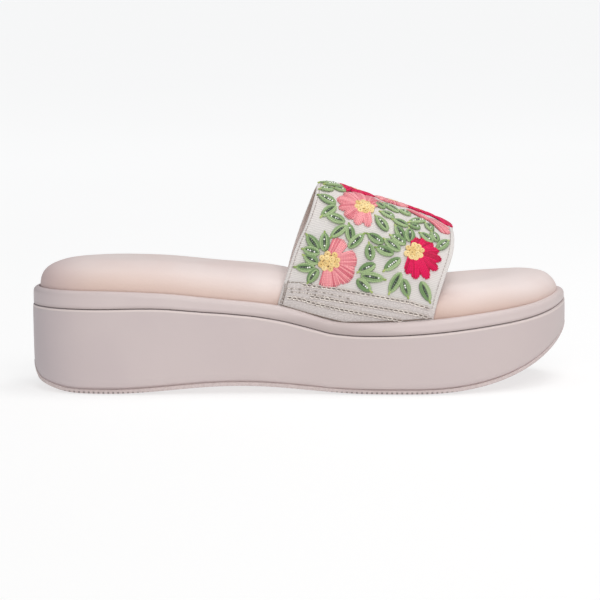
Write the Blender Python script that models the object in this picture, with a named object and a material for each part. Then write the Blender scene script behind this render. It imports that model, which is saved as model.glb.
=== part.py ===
"""Women's wedge slide sandal with one wide band, right shoe.

Metres, +Z up. The toe points along +X and the outer (lateral) side faces -Y.
The origin is on the floor, under the middle of the sole.
"""
import math

import bpy
import numpy as np

# Sole sizes
LENGTH = 0.252
HEEL_WIDTH = 0.065
WAIST_WIDTH = 0.063
BALL_WIDTH = 0.089

# Heights of the rim's top above the floor
HEEL_HEIGHT = 0.048
FOREFOOT_HEIGHT = 0.0336

# Underside
HEEL_BEVEL_HEIGHT = 0.0057
HEEL_BEVEL_LENGTH = 0.022
HEEL_CORNER_HEIGHT = 0.0056
HEEL_CORNER_LENGTH = 0.0045
ARCH_RISE = 0.0033
TOE_SPRING = 0.0275

# Layers of the sole
OUTSOLE_THICKNESS = 0.0022
OUTSOLE_EDGE = 0.0004
WEDGE_TOP_EDGE = 0.0007
RIM_THICKNESS = 0.0068
RIM_SETBACK = 0.0004
RIM_EDGE_RADIUS = 0.0026
RIM_GROOVE_RADIUS = 0.0006
RIM_LAND_HEEL = 0.0034
RIM_LAND_TOE = 0.0047
SEAT_DEPTH = 0.003
GAP = 0.0003

# Padded insole
PAD_CROWN = 0.0132
PAD_ARCH_SUPPORT = 0.0013  # how much fuller the pad is halfway along
PAD_EDGE_WIDTH = 0.018
PAD_EDGE_LIMIT = 0.8  # widest edge, as a share of half of the pad where it is narrowest
NOTCH_MARGIN = 0.001  # how far the pad's notch runs past the band's edges at full depth
NOTCH_EASE = 0.006

# Band: where its rear edge stands, its widths at the feet, the heights of its arch above
# the rim at both edges, its wall, and the form of its arch
BAND_PLACE_LATERAL = 0.4580  # share of the length
BAND_PLACE_MEDIAL = 0.4682  # share of the length
BAND_WIDTH_LATERAL = 0.0721
BAND_WIDTH_MEDIAL = 0.0725
BAND_ARCH_REAR = 0.0534
BAND_ARCH_FRONT = 0.0382
BAND_WALL = 0.0021
BAND_REAR_LEAN = 0.01845
BAND_FRONT_LEAN = 0.0095
BAND_TOP_SHIFT = 0.0030
BAND_FULLNESS = 0.0012
BAND_ROUNDNESS_REAR = 2.05  # power of the arch's curve, 2 for an ellipse
BAND_ROUNDNESS_FRONT = 2.35  # power of the arch's curve, 2 for an ellipse

# Fineness of the solids
STATIONS = 54
STATION_CROWDING = 0.05  # share by which the stations lie closer at the middle of the sole
BAND_COLUMNS = 16
BAND_ROWS = 44
BAND_EDGE_ANGLES = (50, 0, -50)
OUTLINE_SAMPLES = 900
SHARP_ANGLE = 40  # degrees between faces from which an edge is drawn sharp

WIDTHS = {"heel": HEEL_WIDTH, "waist": WAIST_WIDTH, "ball": BALL_WIDTH}
BAND_REAR_LATERAL = BAND_PLACE_LATERAL * LENGTH
BAND_REAR_MEDIAL = BAND_PLACE_MEDIAL * LENGTH
BAND_FRONT_LATERAL = BAND_REAR_LATERAL + BAND_WIDTH_LATERAL
BAND_FRONT_MEDIAL = BAND_REAR_MEDIAL + BAND_WIDTH_MEDIAL

# Plan of the sole, a row for each section of the last from heel to toe.
# along: share of the length; width: the named width that the sides are shares of;
# lateral, medial: distance of each side from the long axis, as shares of that width.
PLAN = (
    # along, width, lateral, medial
    (0.030, "heel", 0.290, 0.270),
    (0.105, "heel", 0.455, 0.440),
    (0.220, "heel", 0.508, 0.492),
    (0.400, "waist", 0.535, 0.465),
    (0.530, "ball", 0.422, 0.390),
    (0.640, "ball", 0.480, 0.472),
    (0.735, "ball", 0.500, 0.500),
    (0.830, "ball", 0.455, 0.488),
    (0.915, "ball", 0.340, 0.425),
    (0.972, "ball", 0.180, 0.320),
)
TOE_TIP_SIDE = 0.100  # share of the ball width that the toe tip lies to the medial side

# Top of the rim along the sole.
# along: share of the length; height: 0 is the forefoot's height and 1 the heel's.
DECK = (
    # along, height
    (0.00, 1.000),
    (0.13, 1.000),
    (0.24, 0.925),
    (0.34, 0.740),
    (0.46, 0.505),
    (0.52, 0.215),
    (0.57, -0.030),
    (0.60, -0.045),
    (0.68, -0.010),
    (0.76, 0.085),
    (0.84, 0.220),
    (0.92, 0.365),
    (1.00, 0.665),
)

# Rim between the wedge and its own top. along: share of the length; thickness: share of
# RIM_THICKNESS.
RIM_LAYER = (
    # along, thickness
    (0.00, 1.24),
    (0.12, 1.24),
    (0.24, 1.05),
    (0.30, 1.02),
    (0.36, 0.94),
    (0.42, 0.945),
    (0.46, 0.99),
    (0.54, 0.87),
    (0.575, 0.81),
    (0.60, 0.86),
    (0.70, 0.90),
    (0.84, 0.92),
    (0.92, 0.89),
    (0.965, 0.86),
    (1.00, 0.70),
)

# Underside: where the flat spots of heel and forefoot end.
ARCH_START = 0.14  # share of the length
ARCH_END = 0.63  # share of the length
TOE_ROCKER_START = 0.715  # share of the length
TOE_ROCKER_REACH = 1.013  # share of the length, where the rocker's curve would stand upright

# How roundly the heel's bevel and its short corner run out.
BEVEL_POWER = 1.8
CORNER_POWER = 2.2

# Rounded shoulder of the pad.
# inward: share of the shoulder's width from the pad's edge; rise: share of the pad's crown.
PAD_SHOULDER = (
    # inward, rise
    (0.000, 0.00),
    (0.012, 0.18),
    (0.045, 0.37),
    (0.120, 0.54),
    (0.240, 0.69),
    (0.420, 0.81),
    (0.700, 0.93),
    (1.000, 0.99),
)

# Height of the band's ridge from its rear edge to its front edge.
# across: share of the band's width; fall: share of the drop from rear to front height.
BAND_RIDGE = (
    # across, fall
    (0.00, 0.00),
    (0.14, 0.05),
    (0.32, 0.24),
    (0.55, 0.46),
    (0.80, 0.74),
    (1.00, 1.00),
)

# How far the band's edges lean forward as they rise, a row for each height of the arch.
# height: share of the arch; rear_lateral, rear_medial: shares of BAND_REAR_LEAN;
# front: share of BAND_FRONT_LEAN.
BAND_EDGES = (
    # height, rear_lateral, rear_medial, front
    (0.00, 0.000, 0.000, 0.00),
    (0.25, 0.232, 0.157, 0.26),
    (0.50, 0.481, 0.383, 0.60),
    (0.70, 0.748, 0.601, 0.85),
    (0.85, 0.893, 0.782, 0.97),
    (0.94, 0.963, 0.895, 1.00),
    (1.00, 1.000, 1.000, 0.95),
)


def smooth_table(rows, where):
    """Read a two-column table at the given places, on a smooth line without overshoot."""
    xs, ys = np.array(rows, dtype=float).T
    steps = np.diff(xs)
    slopes = np.diff(ys) / steps
    tangents = np.zeros(len(xs))
    tangents[0] = slopes[0]
    tangents[-1] = slopes[-1]
    for i in range(1, len(xs) - 1):
        before, after = slopes[i - 1], slopes[i]
        if before * after > 0:
            tangents[i] = 2 * before * after / (before + after)
    where = np.clip(np.asarray(where, dtype=float), xs[0], xs[-1])
    i = np.clip(np.searchsorted(xs, where, side="right") - 1, 0, len(steps) - 1)
    t = (where - xs[i]) / steps[i]
    start = ys[i] * (1 + 2 * t) * (1 - t) ** 2 + tangents[i] * steps[i] * t * (1 - t) ** 2
    end = ys[i + 1] * t * t * (3 - 2 * t) - tangents[i + 1] * steps[i] * t * t * (1 - t)
    return start + end


def closed_spline(points, count):
    """Samples of the closed curve of even curvature through the points."""
    points = np.array(points, dtype=float)
    total = len(points)
    chords = np.linalg.norm(np.roll(points, -1, axis=0) - points, axis=1)
    system = np.zeros((total, total))
    right = np.zeros((total, 2))
    for i in range(total):
        before, after = chords[i - 1], chords[i]
        system[i, i - 1] += 1 / before
        system[i, i] += 2 / before + 2 / after
        system[i, (i + 1) % total] += 1 / after
        right[i] = 3 * ((points[i] - points[i - 1]) / before ** 2
                        + (points[(i + 1) % total] - points[i]) / after ** 2)
    tangents = np.linalg.solve(system, right)
    knots = np.concatenate([[0], np.cumsum(chords)])
    where = np.linspace(0, knots[-1], count, endpoint=False)
    i = np.clip(np.searchsorted(knots, where, side="right") - 1, 0, total - 1)
    j = (i + 1) % total
    t = ((where - knots[i]) / chords[i])[:, None]
    h = chords[i][:, None]
    return (points[i] * (1 + 2 * t) * (1 - t) ** 2 + tangents[i] * h * t * (1 - t) ** 2
            + points[j] * t * t * (3 - 2 * t) - tangents[j] * h * t * t * (1 - t))


def plan_outline():
    """Outer outline of the sole, from the heel's back along the lateral side to the toe."""
    lateral = [(along * LENGTH, -WIDTHS[width] * side) for along, width, side, _ in PLAN]
    medial = [(along * LENGTH, WIDTHS[width] * side) for along, width, _, side in PLAN]
    toe = (LENGTH, TOE_TIP_SIDE * BALL_WIDTH)
    outline = closed_spline([(0, 0)] + lateral + [toe] + medial[::-1], OUTLINE_SAMPLES)
    low = outline.min(axis=0)
    high = outline.max(axis=0)
    outline[:, 0] = (outline[:, 0] - low[0]) * LENGTH / (high[0] - low[0])
    return outline


OUTLINE = plan_outline()
SIDE_MIDDLE = (OUTLINE[:, 1].min() + OUTLINE[:, 1].max()) / 2


def inset_sides(inset, samples):
    """Closed loop of plan points: the outline moved inwards, at stations along the length.

    inset is a distance or a function of the length. The loop runs from the heel tip along
    the lateral side to the toe tip and back along the medial side, and both sides have
    their points at the same lengths.
    """
    ahead = np.roll(OUTLINE, -1, axis=0) - np.roll(OUTLINE, 1, axis=0)
    ahead /= np.linalg.norm(ahead, axis=1)[:, None]
    inward = np.stack([-ahead[:, 1], ahead[:, 0]], axis=1)
    distance = inset(OUTLINE[:, 0]) if callable(inset) else np.full(len(OUTLINE), inset)
    curve = OUTLINE + inward * distance[:, None]
    curve = np.roll(curve, -int(curve[:, 0].argmin()), axis=0)
    toe = int(curve[:, 0].argmax())
    lateral = curve[:toe + 1]
    medial = np.vstack([curve[toe:], curve[:1]])[::-1]
    turn = np.linspace(0, 1, samples + 1)
    turn = turn + STATION_CROWDING * np.sin(2 * math.pi * turn)
    share = (1 - np.cos(math.pi * turn)) / 2
    xs = curve[0, 0] + share * (curve[toe, 0] - curve[0, 0])
    lateral_y = np.interp(xs, lateral[:, 0], lateral[:, 1])
    medial_y = np.interp(xs, medial[:, 0], medial[:, 1])
    there = np.stack([xs, lateral_y], axis=1)
    back = np.stack([xs[1:-1], medial_y[1:-1]], axis=1)[::-1]
    return np.vstack([there, back])


def side_at(x, inset, medial):
    """Distance across, at length x, of one side of the outline moved inwards."""
    stations = OUTLINE_SAMPLES // 2
    loop = inset_sides(inset, stations)
    side = np.vstack([loop[:1], loop[stations:][::-1]]) if medial else loop[:stations + 1]
    return float(np.interp(x, side[:, 0], side[:, 1]))


def underside(x):
    """Height of the outsole's bottom: heel bevel, flat, arch, flat, toe rocker."""
    x = np.asarray(x, dtype=float)
    bevel = HEEL_BEVEL_HEIGHT * np.clip(1 - x / HEEL_BEVEL_LENGTH, 0, 1) ** BEVEL_POWER
    corner = HEEL_CORNER_HEIGHT * np.clip(1 - x / HEEL_CORNER_LENGTH, 0, 1) ** CORNER_POWER
    arch_share = np.clip((x / LENGTH - ARCH_START) / (ARCH_END - ARCH_START), 0, 1)
    arch = ARCH_RISE * np.sin(math.pi * arch_share) ** 2
    reach = TOE_ROCKER_REACH - TOE_ROCKER_START
    tip_share = (1 - TOE_ROCKER_START) / reach
    toe_share = np.clip((x / LENGTH - TOE_ROCKER_START) / reach, 0, tip_share)
    rocker = (1 - np.sqrt(1 - toe_share ** 2)) / (1 - math.sqrt(1 - tip_share ** 2))
    return bevel + corner + arch + TOE_SPRING * rocker


def deck(x):
    """Height of the rim's top edge along the sole."""
    share = smooth_table(DECK, np.asarray(x) / LENGTH)
    return FOREFOOT_HEIGHT + (HEEL_HEIGHT - FOREFOOT_HEIGHT) * share


def parting(x):
    """Height of the line between wedge and rim."""
    return deck(x) - RIM_THICKNESS * smooth_table(RIM_LAYER, np.asarray(x) / LENGTH)


def rim_land(x):
    """Width of the rim's top, from the outer wall to the pad's seat."""
    return RIM_LAND_HEEL + (RIM_LAND_TOE - RIM_LAND_HEEL) * np.asarray(x) / LENGTH


def seat_floor(x):
    """Height of the floor of the shallow seat inside the rim."""
    return deck(x) - SEAT_DEPTH


def pad_top(x, rise):
    """Height of the pad where it has risen by a share of its crown."""
    support = PAD_ARCH_SUPPORT * np.sin(math.pi * np.clip(x / LENGTH, 0, 1)) ** 2
    return deck(x) + rise * (PAD_CROWN + support)


def band_inset(x):
    """Distance from the outer wall of the sole to the band's outer face at its feet."""
    return rim_land(x) + GAP


def band_notch(x):
    """How much further in the pad starts where the band's ends go down beside it."""
    x = np.asarray(x, dtype=float)
    rear = min(BAND_REAR_LATERAL, BAND_REAR_MEDIAL) - NOTCH_MARGIN
    front = max(BAND_FRONT_LATERAL, BAND_FRONT_MEDIAL) + NOTCH_MARGIN
    before = np.clip(1 + (x - rear) / NOTCH_EASE, 0, 1)
    after = np.clip(1 + (front - x) / NOTCH_EASE, 0, 1)
    share = before * before * (3 - 2 * before) * after * after * (3 - 2 * after)
    return (BAND_WALL + GAP) * share


def ring(inset, height):
    """A closed loop of points: the outline moved inwards, at a height that follows x."""
    plan = inset_sides(inset, STATIONS)
    return np.column_stack([plan, height(plan[:, 0])])


def rounded(inset, height, radius, steps, top):
    """Rings of a rounded edge between an upright wall and the top or the bottom face."""
    rings = []
    angles = np.radians(np.linspace(0, 90, steps + 1))
    for angle in angles if top else angles[::-1]:
        inward = inset + radius * (1 - math.cos(angle))
        away = radius * (1 - math.sin(angle)) * (-1 if top else 1)
        rings.append(ring(inward, lambda x, away=away: height(x) + away))
    return rings


def srgb(red, green, blue):
    """Linear colour of a colour given in 0 to 255."""
    parts = []
    for value in (red, green, blue):
        value /= 255
        parts.append(value / 12.92 if value <= 0.04045 else ((value + 0.055) / 1.055) ** 2.4)
    return (*parts, 1)


def material(name, colour, roughness):
    """Plain Principled material of a piece."""
    finish = bpy.data.materials.new(name)
    finish.use_nodes = True
    shader = finish.node_tree.nodes["Principled BSDF"]
    shader.inputs["Base Color"].default_value = srgb(*colour)
    shader.inputs["Roughness"].default_value = roughness
    shader.inputs["Metallic"].default_value = 0
    return finish


def make_object(name, points, faces, finish, collection):
    """A piece from its points, given from the heel, moved so that its middle is the origin."""
    middle = (LENGTH / 2, SIDE_MIDDLE, 0)
    mesh = bpy.data.meshes.new(name)
    mesh.from_pydata((np.asarray(points) - middle).tolist(), [], faces)
    mesh.validate()
    mesh.materials.append(finish)
    mesh.shade_smooth()
    mesh.set_sharp_from_angle(angle=math.radians(SHARP_ANGLE))
    piece = bpy.data.objects.new(name, mesh)
    collection.objects.link(piece)
    return piece


def loft_rings(rings):
    """Faces between rings of the same count, closed across at the first and the last ring."""
    count = len(rings[0])
    half = count // 2
    faces = []
    for level in range(len(rings) - 1):
        low, high = level * count, (level + 1) * count
        for i in range(count):
            j = (i + 1) % count
            faces.append((low + i, low + j, high + j, high + i))
    for base, up in ((0, False), ((len(rings) - 1) * count, True)):
        for i in range(half):
            lateral, lateral_next = i, i + 1
            medial, medial_next = (count - i) % count, count - i - 1
            corners = [lateral, lateral_next, medial_next, medial]
            corners = list(dict.fromkeys(base + corner for corner in corners))
            faces.append(tuple(corners if up else corners[::-1]))
    return np.vstack(rings), faces


def build_outsole(collection):
    """Thin rubber sheet under the whole sole, with its edges eased."""
    def top(x):
        return underside(x) + OUTSOLE_THICKNESS
    rings = [
        ring(OUTSOLE_EDGE, underside),
        ring(0, lambda x: underside(x) + OUTSOLE_EDGE),
        ring(0, lambda x: top(x) - OUTSOLE_EDGE),
        ring(OUTSOLE_EDGE, top),
    ]
    finish = material("outsole rubber", (196, 182, 180), 0.6)
    return make_object("outsole", *loft_rings(rings), finish, collection)


def build_wedge(collection):
    """Tall block between outsole and rim, with upright walls and an eased top edge."""
    def bottom(x):
        return underside(x) + OUTSOLE_THICKNESS + GAP
    rings = [
        ring(OUTSOLE_EDGE, bottom),
        ring(0, lambda x: bottom(x) + OUTSOLE_EDGE),
    ]
    rings += rounded(0, parting, WEDGE_TOP_EDGE, 2, top=True)
    finish = material("wedge cover", (203, 189, 187), 0.45)
    return make_object("wedge_midsole", *loft_rings(rings), finish, collection)


def build_rim(collection):
    """Wrapped layer on the wedge: rounded rim around a shallow seat."""
    def bottom(x):
        return parting(x) + GAP
    rings = rounded(RIM_SETBACK, bottom, RIM_GROOVE_RADIUS, 2, top=False)
    rings += rounded(RIM_SETBACK, deck, RIM_EDGE_RADIUS, 4, top=True)
    rings.append(ring(rim_land, deck))
    rings.append(ring(rim_land, seat_floor))
    finish = material("rim cover", (206, 192, 189), 0.45)
    return make_object("footbed_rim", *loft_rings(rings), finish, collection)


def build_insole(collection):
    """Thick padded sock that stands proud of the rim, narrower where the band goes down."""
    def edge(x):
        return rim_land(x) + GAP + band_notch(x)
    narrowest = min(HEEL_WIDTH, WAIST_WIDTH) / 2 - RIM_LAND_TOE - BAND_WALL - 2 * GAP
    shoulder = min(PAD_EDGE_WIDTH, PAD_EDGE_LIMIT * narrowest)
    rings = [ring(edge, lambda x: seat_floor(x) + GAP)]
    for inward, rise in PAD_SHOULDER:
        rings.append(ring(
            lambda x, inward=inward: edge(x) + inward * shoulder,
            lambda x, rise=rise: pad_top(x, rise)))
    finish = material("insole cover", (228, 212, 205), 0.5)
    return make_object("insole", *loft_rings(rings), finish, collection)


def band_section(across):
    """One section of the band's outer face, from the lateral seat over to the medial one.

    across is 0 at the rear edge and 1 at the front edge. The result is an array of points,
    spaced evenly along the section, whose ends stand on the seat's floor.
    """
    angles = np.linspace(0, math.pi, 4 * BAND_ROWS + 1)
    bulge = 2 / (BAND_ROUNDNESS_REAR + (BAND_ROUNDNESS_FRONT - BAND_ROUNDNESS_REAR) * across)
    rise = np.sin(angles).clip(0, 1) ** bulge
    swing = np.sign(np.cos(angles)) * np.abs(np.cos(angles)) ** bulge
    side = (1 - swing) / 2
    rear_x = BAND_REAR_LATERAL + (BAND_REAR_MEDIAL - BAND_REAR_LATERAL) * side
    front_x = BAND_FRONT_LATERAL + (BAND_FRONT_MEDIAL - BAND_FRONT_LATERAL) * side
    heights, lateral_lean, medial_lean, front_lean = zip(*BAND_EDGES)
    lean = np.where(swing > 0, smooth_table(list(zip(heights, lateral_lean)), rise),
                    smooth_table(list(zip(heights, medial_lean)), rise))
    rear_x = rear_x + BAND_REAR_LEAN * lean
    front_x = front_x + BAND_FRONT_LEAN * smooth_table(list(zip(heights, front_lean)), rise)
    xs = rear_x + (front_x - rear_x) * across
    lateral_y = side_at(xs[0], band_inset, medial=False)
    medial_y = side_at(xs[-1], band_inset, medial=True)
    half_width = (medial_y - lateral_y) / 2
    ys = (medial_y + lateral_y) / 2 - half_width * swing + BAND_TOP_SHIFT * rise ** 2
    ys = ys - BAND_FULLNESS * 4 * across * (1 - across) * np.sin(2 * angles)
    fall = float(smooth_table(BAND_RIDGE, across))
    rear_ridge = float(deck(BAND_REAR_LATERAL)) + BAND_ARCH_REAR
    front_ridge = float(deck(BAND_FRONT_LATERAL)) + BAND_ARCH_FRONT
    ridge = rear_ridge + (front_ridge - rear_ridge) * fall
    feet = float(deck(xs[0])) * (1 - side) + float(deck(xs[-1])) * side
    zs = feet + (ridge - feet) * rise
    arch = np.stack([xs, ys, zs], axis=1)
    lateral_foot = arch[:1].copy()
    medial_foot = arch[-1:].copy()
    lateral_foot[0, 2] = float(seat_floor(arch[0, 0])) + GAP
    medial_foot[0, 2] = float(seat_floor(arch[-1, 0])) + GAP
    path = np.vstack([lateral_foot, arch, medial_foot])
    lengths = np.concatenate([[0], np.cumsum(np.linalg.norm(np.diff(path, axis=0), axis=1))])
    even = np.linspace(0, lengths[-1], BAND_ROWS + 1)
    return np.stack([np.interp(even, lengths, path[:, k]) for k in range(3)], axis=1)


def build_band(collection):
    """Upper: one hollow band with a wall of even thickness and rounded edges."""
    half_wall = BAND_WALL / 2
    ease = half_wall / BAND_WIDTH_LATERAL
    columns = np.linspace(ease, 1 - ease, BAND_COLUMNS + 1)
    outer = np.array([band_section(across) for across in columns])
    outward = np.cross(np.gradient(outer, axis=0), np.gradient(outer, axis=1))
    outward /= np.linalg.norm(outward, axis=2)[:, :, None]
    inner = outer - outward * BAND_WALL
    edges = []
    for last, edge in ((-1, band_section(1)), (0, band_section(0))):
        for angle in np.radians(BAND_EDGE_ANGLES if last else BAND_EDGE_ANGLES[::-1]):
            reach = (edge - outer[last]) * math.cos(angle)
            edges.append(outer[last] + reach - outward[last] * half_wall * (1 - math.sin(angle)))
    turns = len(BAND_EDGE_ANGLES)
    around = [*outer, *edges[:turns], *inner[::-1], *edges[turns:]]
    points = np.array(around).transpose(1, 0, 2)
    rows, count = points.shape[:2]
    faces = []
    for row in range(rows - 1):
        low, high = row * count, (row + 1) * count
        for i in range(count):
            j = (i + 1) % count
            faces.append((low + i, low + j, high + j, high + i))
    front, back = BAND_COLUMNS, BAND_COLUMNS + 1 + turns
    foot = [tuple(range(front, back + 1)), (*range(back + BAND_COLUMNS, count), 0)]
    for i in range(BAND_COLUMNS):
        foot.append((i, i + 1, back + BAND_COLUMNS - i - 1, back + BAND_COLUMNS - i))
    last = (rows - 1) * count
    faces += [face[::-1] for face in foot]
    faces += [tuple(last + corner for corner in face) for face in foot]
    finish = material("band fabric", (222, 216, 212), 0.8)
    return make_object("upper_band", points.reshape(-1, 3), faces, finish, collection)


def build_shoe():
    """Empty the scene and model the five pieces of the shoe."""
    for old in list(bpy.data.objects):
        bpy.data.objects.remove(old, do_unlink=True)
    collection = bpy.data.collections.new("wedge slide")
    bpy.context.scene.collection.children.link(collection)
    build_outsole(collection)
    build_wedge(collection)
    build_rim(collection)
    build_insole(collection)
    build_band(collection)


build_shoe()
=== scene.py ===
import math
import random

import bpy
import numpy as np
from mathutils import Matrix, Vector
from mathutils.bvhtree import BVHTree


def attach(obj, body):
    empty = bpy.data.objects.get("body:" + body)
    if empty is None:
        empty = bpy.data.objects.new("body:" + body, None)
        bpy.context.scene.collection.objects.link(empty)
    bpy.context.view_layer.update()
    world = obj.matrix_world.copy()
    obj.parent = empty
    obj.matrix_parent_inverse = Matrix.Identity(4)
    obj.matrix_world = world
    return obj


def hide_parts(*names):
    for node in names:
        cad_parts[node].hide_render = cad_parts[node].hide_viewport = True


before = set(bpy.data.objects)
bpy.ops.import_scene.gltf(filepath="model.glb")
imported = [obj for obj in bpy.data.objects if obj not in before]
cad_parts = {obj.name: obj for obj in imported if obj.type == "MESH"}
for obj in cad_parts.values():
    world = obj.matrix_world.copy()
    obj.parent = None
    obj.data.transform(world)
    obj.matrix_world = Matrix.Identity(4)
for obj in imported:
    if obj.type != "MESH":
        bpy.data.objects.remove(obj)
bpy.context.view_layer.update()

MM = 0.001
TURN = 2 * math.pi

# Camera at the photo's angle, which looks 7.5 degrees down at the outer side.
PHOTO_SIZE = 600
PHOTO_CENTRE = (299.5, 300.0)
CAMERA_DISTANCE = 1.300
CAMERA_ELEVATION = math.radians(7.5)
CAMERA_ROLL = math.radians(-0.74)
CAMERA_AIM = Vector((0, 0, 0.03895))
PIXELS_PER_METRE = 2115  # in the picture, at the distance of the aim
SENSOR = 36.0

TO_CAMERA = Vector((0, -math.cos(CAMERA_ELEVATION), math.sin(CAMERA_ELEVATION)))
CAMERA_PLACE = CAMERA_AIM + TO_CAMERA * CAMERA_DISTANCE
LEVEL_RIGHT = Vector((1, 0, 0))
LEVEL_UP = TO_CAMERA.cross(LEVEL_RIGHT)
CAMERA_RIGHT = LEVEL_RIGHT * math.cos(CAMERA_ROLL) + LEVEL_UP * math.sin(CAMERA_ROLL)
CAMERA_UP = LEVEL_UP * math.cos(CAMERA_ROLL) - LEVEL_RIGHT * math.sin(CAMERA_ROLL)

# Embroidery threads and beads, in metres
FLOSS = 0.00047  # radius of a petal's strand
FLOSS_TWIST = 0.0011  # length in which its plies go round once
STITCH_SPACING = 0.00088
PETAL_ROUNDING = 0.16  # share by which a petal's sides are shorter than its middle
SLIM_PETAL = 0.0031  # petals of less than this half width end rounder
SLIM_ROUNDING = 0.30
PETAL_HUMP = 0.00072  # how far a petal's stitches rise in their middle
PETAL_START = 0.0012  # from the flower's middle, at least
PETAL_STEPS = 9
LEAF_FLOSS = 0.00062
LEAF_FULLNESS = 1.12  # leaves are worked a little wider than they are marked
LEAF_STEPS = 11
TIP_STEPS = 7
KNOT_FLOSS = 0.00067
KNOT_RADIUS = 0.0011
KNOT_TURNS = 1.8
KNOT_STEPS = 20
BEAD = 0.00046
BEAD_PITCH = 0.00104
BEAD_ROW = 0.66  # share of a leaf's length
BEAD_HEIGHT = 0.00118  # of a bead's middle above the fabric
HEM_FLOSS = 0.00025
HEM_WINDING = 0.00055  # length in which the metal is wound round once
HEM_LINK = 0.0023  # length of a chain stitch
HEM_LINK_WIDTH = 0.00135
LINK_STEPS = 11
EDGE_STITCH = 0.0017
STITCH_STEPS = 6
EDGE_SEAM_INSET = 0.0019  # from the turned edge to the line of stitches that holds it
HOVER = 0.00018  # how far a strand's middle line lies above the fabric

# The sole's layers are pressed together, and the outsole has ribs across its tread.
RIM_PRESSED = 0.0003  # how far the rim is pressed down on the wedge
WEDGE_PRESSED = 0.0015  # how far the wedge's lower edge comes down over the outsole
OUTSOLE_PRESSED = 0.00025  # how far the outsole is pressed up against the wedge
TREAD_PITCH = 0.0023

# The toe's spring is a little lower than the frame's, from here forward.
TOE_START = 0.050
TOE_LENGTH = 0.060
TOE_DROP = 0.0011

# The pad's end spreads over the seat to meet the rim at the toe.
PAD_END = 0.100
PAD_END_LENGTH = 0.015
PAD_SPREAD = 0.0014
PAD_SPREAD_TOP = 0.049  # height above which it doesn't spread
PAD_SPREAD_FULL = 0.043

# The band's front edge bows forward a little high on the outer side.
BOW = 0.0011
BOW_LOW = 0.052
BOW_HIGH = 0.066
BOW_START = 0.040
BOW_END = 0.066

# How far up the rim its painted shade reaches where its cover turns under, more where the sole steps down.
UNDERCUT_SHADE = 0.0016
UNDERCUT_SHADE_AT_BEND = 0.0052
BEND_PLACE = 0.014
BEND_REACH = 0.024
LINE_STEP = 0.003  # between the points at which the rim's lower edge is read

# Middle of the band's arch, about which its sides are counted in degrees:
# 0 at the outer foot, 90 at the top and 180 at the inner foot.
ARCH_BASE = 0.0335
ARCH_RADIUS = 0.0415

# Petals of each kind of flower, as turn, reach and half_width. turn: degrees clockwise from
# the top as seen; reach: from the flower's middle to the petal's end, in mm; half_width: half
# of its width there, in mm.
PETALS = {
    "half_rose": (
        (29, 12.3, 4.2), (87, 12.7, 5.1), (129, 13.3, 5.0), (178, 12.1, 5.9),
    ),
    "half_daisy": (
        (6, 8.6, 2.4), (31, 9.4, 2.5), (58, 10.4, 2.7), (83, 11.6, 2.8), (107, 12.9, 2.9),
        (131, 13.7, 3.0), (157, 14.8, 3.0), (180, 13.9, 2.9), (199, 12.0, 2.5),
    ),
    "low_rose": (
        (172, 12.6, 2.6), (197, 12.4, 3.0), (228, 11.8, 3.2), (257, 12.4, 3.0), (284, 13.2, 3.2),
        (316, 12.6, 3.6), (350, 14.2, 3.6), (20, 14.6, 3.6), (48, 13.2, 3.4),
    ),
    "rose": (
        (20, 10.8, 4.0), (64, 9.8, 3.8), (110, 10.2, 4.0), (158, 15.2, 4.6), (206, 15.0, 4.5),
        (250, 10.0, 3.9), (296, 9.8, 4.0), (340, 11.3, 3.8),
    ),
    "daisy": (
        (0, 10.2, 2.2), (27, 10.8, 2.3), (54, 10.2, 2.2), (81, 10.2, 2.3), (108, 11.0, 2.4),
        (136, 12.8, 2.7), (164, 14.8, 2.9), (192, 15.2, 2.9), (220, 13.2, 2.7), (248, 11.0, 2.4),
        (276, 10.2, 2.3), (304, 10.2, 2.2), (332, 10.6, 2.2),
    ),
    "side_petal": (
        (115, 13.6, 2.8),
    ),
    "side_fan": (
        (108, 12.6, 2.6), (133, 15.6, 3.5),
    ),
}

# Flowers that the photo shows. x, y: middle of the knots in the photo;
# knots: radius of their cluster in mm, 0 where none show.
SEEN_FLOWERS = (
    # x, y, kind, knots, colour
    (329.4, 261.8, "half_rose", 4.2, "pink"),
    (414.7, 252.2, "half_daisy", 3.9, "crimson"),
    (364.0, 207.6, "low_rose", 4.1, "pink"),
    (425.0, 218.2, "side_fan", 0, "pink"),
    (404.5, 209.4, "side_petal", 0, "pink"),
)

# Flowers along the top, which the photo shows edge on.
# along: metres from the middle of the sole; degrees: place around the arch.
TOP_FLOWERS = (
    # along, degrees, kind, knots, colour
    (0.0262, 97.5, "daisy", 3.2, "crimson"),
    (0.0440, 100, "rose", 3.1, "pink"),
    (0.0565, 105, "daisy", 3.0, "crimson"),
)

TOP_HEAP = 0.1  # knots on top lie nearly flat, those of the other flowers are heaped
FULL_HEAP = 1.0

# The pattern's like on the inner side, which the photo doesn't show.
INNER_SHIFT = 0.0025  # how much further forward it lies
INNER_FROM = 0.008  # across the shoe, flowers further in than this have their top the other way
INNER_BELOW = 0.078  # flowers higher than this lie on top and aren't repeated
TOP_CLEARANCE = 0.0125  # leaves nearer than this to a flower on top aren't repeated

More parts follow.
